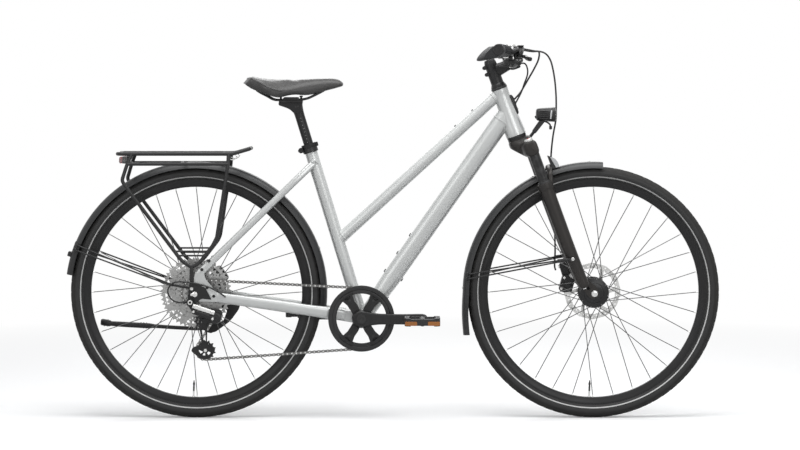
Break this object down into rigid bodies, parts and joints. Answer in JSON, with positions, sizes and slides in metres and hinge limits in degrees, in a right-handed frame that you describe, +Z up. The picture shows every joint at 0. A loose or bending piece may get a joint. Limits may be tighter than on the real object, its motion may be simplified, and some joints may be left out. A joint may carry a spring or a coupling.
{
  "type": "city bike",
  "caption": "City bike with a sloping step-through frame, suspension fork, rear rack, full mudguards, lights, disc brakes, a chain drive and a folding side stand.",
  "frame": {"origin": "on the ground, below the middle of the bike's length, in its middle plane", "axes": "+X forward along the bike, +Y to the rider's left, +Z up; the chain is on the -Y side"},
  "size_m": [1.8354, 0.6334, 1.0488],
  "materials": {
    "frame_paint": "pearl silver-white, satin clear coat",
    "black_alloy": "black, satin anodised or powder coated",
    "satin_alloy": "charcoal, satin",
    "silver_alloy": "brushed",
    "steel": "bright, lightly brushed",
    "tyre_rubber": "matt black with a reflective sidewall line",
    "grip_rubber": "matt dark grey, textured",
    "cable_sheath": "smooth black",
    "black_plastic": "matt black, moulded",
    "saddle_cover": "dark grey synthetic leather, fine grain",
    "red_lens": "gloss red"
  },
  "bodies": {
    "frame": {"head_tube": "frame_paint", "top_tube": "frame_paint", "down_tube": "frame_paint", "seat_tube": "frame_paint", "chainstays": "frame_paint", "seatstays": "frame_paint", "seat_clamp": "black_alloy", "bottom_bracket": "black_alloy", "rear_mudguard": "black_plastic", "rack": "black_alloy", "tail_light": "red_lens", "rear_axle": "steel", "rear_caliper": "black_alloy", "derailleur_body": "satin_alloy", "derailleur_cage": "satin_alloy", "chain": "steel", "kickstand_bracket": "black_alloy", "shift_cable_rear": "cable_sheath"},
    "seatpost": {"seatpost": "black_alloy", "saddle_rails": "steel", "saddle": "saddle_cover"},
    "steering": {"fork_crown": "satin_alloy", "stem": "black_alloy", "handlebar": "black_alloy", "grip_right": "grip_rubber", "grip_left": "grip_rubber", "brake_body_right": "black_alloy", "brake_body_left": "black_alloy", "shifter_body": "black_plastic", "bell": "silver_alloy", "headlight_bracket": "black_alloy", "front_brake_hose": "cable_sheath", "rear_brake_hose": "cable_sheath", "shift_cable_front": "cable_sheath"},
    "headlight": {"headlight": "black_plastic"},
    "lockout": {"lockout_knob": "silver_alloy"},
    "left_lever": {"brake_lever_left": "satin_alloy"},
    "right_lever": {"brake_lever_right": "satin_alloy"},
    "shift_lever": {"shift_lever": "black_plastic"},
    "fork_lowers": {"fork_lowers": "satin_alloy", "front_axle": "steel", "front_caliper": "black_alloy", "front_mudguard": "black_plastic"},
    "front_wheel": {"front_tyre": "tyre_rubber", "front_rim": "black_alloy", "front_hub": "satin_alloy", "front_rotor": "steel"},
    "rear_wheel": {"rear_tyre": "tyre_rubber", "rear_rim": "black_alloy", "rear_hub": "satin_alloy", "rear_rotor": "steel"},
    "cassette": {"cassette": "steel"},
    "crankset": {"right_crank": "black_alloy", "left_crank": "black_alloy", "chainring": "black_alloy"},
    "right_pedal": {"pedal_right": "black_plastic"},
    "left_pedal": {"pedal_left": "black_plastic"},
    "guide_pulley": {"guide_pulley": "black_plastic"},
    "tension_pulley": {"tension_pulley": "black_plastic"},
    "kickstand": {"kickstand": "black_alloy"}
  },
  "joints": [
    {"name": "steering", "type": "hinge", "parent": "frame", "child": "steering", "pos_m": [0.3461, 0, 0.795], "axis": [-0.342, 0, 0.9397], "range_deg": [-60, 60], "deforming": ["rear_brake_hose", "shift_cable_front"]},
    {"name": "fork_travel", "type": "slide", "parent": "steering", "child": "fork_lowers", "axis": [-0.342, 0, 0.9397], "range_m": [0, 0.063], "stiffness_N_per_m": 6500, "springref_m": -0.012, "deforming": ["front_brake_hose"]},
    {"name": "front_wheel_spin", "type": "hinge", "parent": "fork_lowers", "child": "front_wheel", "pos_m": [0.5637, 0, 0.354], "axis": [0, 1, 0], "continuous": true},
    {"name": "rear_wheel_spin", "type": "hinge", "parent": "frame", "child": "rear_wheel", "pos_m": [-0.5533, 0, 0.354], "axis": [0, 1, 0], "continuous": true},
    {"name": "crank_spin", "type": "hinge", "parent": "frame", "child": "crankset", "pos_m": [-0.0887, 0, 0.2841], "axis": [0, 1, 0], "continuous": true},
    {"name": "cassette_spin", "type": "hinge", "parent": "frame", "child": "cassette", "pos_m": [-0.5533, 0, 0.354], "axis": [0, 1, 0], "continuous": true},
    {"name": "guide_pulley_spin", "type": "hinge", "parent": "frame", "child": "guide_pulley", "pos_m": [-0.5326, -0.04775, 0.275], "axis": [0, 1, 0], "continuous": true},
    {"name": "tension_pulley_spin", "type": "hinge", "parent": "frame", "child": "tension_pulley", "pos_m": [-0.526, -0.04775, 0.1945], "axis": [0, 1, 0], "continuous": true},
    {"name": "right_pedal_spin", "type": "hinge", "parent": "crankset", "child": "right_pedal", "pos_m": [0.0813, -0.0915, 0.2841], "axis": [0, 1, 0], "continuous": true},
    {"name": "left_pedal_spin", "type": "hinge", "parent": "crankset", "child": "left_pedal", "pos_m": [-0.2587, 0.0915, 0.2841], "axis": [0, 1, 0], "continuous": true},
    {"name": "seatpost_height", "type": "slide", "parent": "frame", "child": "seatpost", "axis": [-0.2924, 0, 0.9563], "range_m": [-0.085, 0.12]},
    {"name": "headlight_tilt", "type": "hinge", "parent": "steering", "child": "headlight", "pos_m": [0.39686, 0, 0.80698], "axis": [0, 1, 0], "range_deg": [-10, 25]},
    {"name": "lockout_turn", "type": "hinge", "parent": "steering", "child": "lockout", "pos_m": [0.37984, -0.065, 0.77685], "axis": [-0.342, 0, 0.9397], "range_deg": [0, 90]},
    {"name": "left_lever_pull", "type": "hinge", "parent": "steering", "child": "left_lever", "pos_m": [0.34879, 0.17, 1.01576], "axis": [0, 0, 1], "range_deg": [0, 20], "stiffness_Nm_per_rad": 1.2, "springref_deg": -5.73},
    {"name": "right_lever_pull", "type": "hinge", "parent": "steering", "child": "right_lever", "pos_m": [0.34879, -0.17, 1.01576], "axis": [0, 0, 1], "range_deg": [-20, 0], "stiffness_Nm_per_rad": 1.2, "springref_deg": 5.73},
    {"name": "shift_lever_push", "type": "hinge", "parent": "steering", "child": "shift_lever", "pos_m": [0.32292, -0.128, 0.99148], "axis": [0, 0, 1], "range_deg": [-20, 0], "stiffness_Nm_per_rad": 0.5, "springref_deg": 5.73},
    {"name": "kickstand_fold", "type": "hinge", "parent": "frame", "child": "kickstand", "pos_m": [-0.5233, 0.086, 0.246], "axis": [0.2003, -0.9685, -0.1482], "range_deg": [0, 120]}
  ],
  "couplings": [
    {"joint": "cassette_spin", "follows": "crank_spin", "ratio": 2.2105},
    {"joint": "guide_pulley_spin", "follows": "crank_spin", "ratio": -3.8182},
    {"joint": "tension_pulley_spin", "follows": "crank_spin", "ratio": 3.2308}
  ]
}
